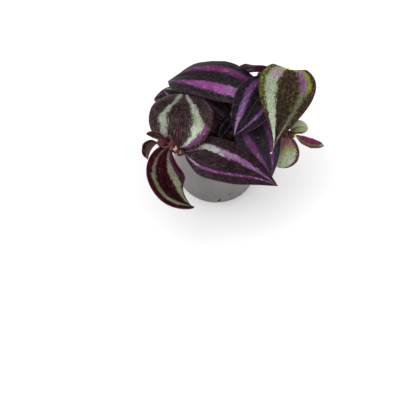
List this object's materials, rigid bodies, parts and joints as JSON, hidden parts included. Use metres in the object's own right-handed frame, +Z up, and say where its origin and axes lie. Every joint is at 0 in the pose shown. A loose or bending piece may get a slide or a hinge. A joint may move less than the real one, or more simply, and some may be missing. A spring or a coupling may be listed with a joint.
{
  "type": "potted zebra plant",
  "caption": "Small pot plant with striped purple and silver leaves on bent stems, in a round tapered plastic nursery pot.",
  "frame": {"origin": "centre of the pot's underside", "axes": "+Z up along the pot's axis, -Y to the front of the plant, +X to its right"},
  "size_m": [0.0962, 0.0978, 0.0847],
  "materials": {
    "grey_plastic": "mid grey satin moulded plastic",
    "potting_mix": "dark damp peat and bark crumbs",
    "stem": "smooth fleshy stem, cream to yellow-green",
    "purple_leaf": "glossy leaf, dark with two purple bands",
    "silver_leaf": "glossy leaf, dark with two silver-green bands"
  },
  "bodies": {
    "root": {"leaf_back_inner": "purple_leaf", "leaf_back_left": "purple_leaf", "leaf_back_right": "purple_leaf", "leaf_behind_heart": "purple_leaf", "leaf_below_dome": "purple_leaf", "leaf_below_heart": "purple_leaf", "leaf_below_pointed": "purple_leaf", "leaf_boat_right": "silver_leaf", "leaf_crown": "purple_leaf", "leaf_dome": "silver_leaf", "leaf_front": "purple_leaf", "leaf_hanging": "silver_leaf", "leaf_heart": "silver_leaf", "leaf_inner": "purple_leaf", "leaf_on_edge": "purple_leaf", "leaf_pointed": "purple_leaf", "leaf_rim_left": "purple_leaf", "leaf_round_right": "silver_leaf", "leaf_short_right": "silver_leaf", "leaf_tip_back_left": "purple_leaf", "leaf_tip_back_right": "purple_leaf", "leaf_tip_left": "purple_leaf", "leaf_under_crown": "purple_leaf", "leaf_under_heart": "purple_leaf", "leaf_young_left": "purple_leaf", "pot": "grey_plastic", "potting_mix": "potting_mix", "stem_back_left": "stem", "stem_back_right": "stem", "stem_crown": "stem", "stem_front_left": "stem", "stem_left": "stem", "stem_middle": "stem", "stem_right": "stem", "stem_tall": "stem"}
  },
  "joints": []
}
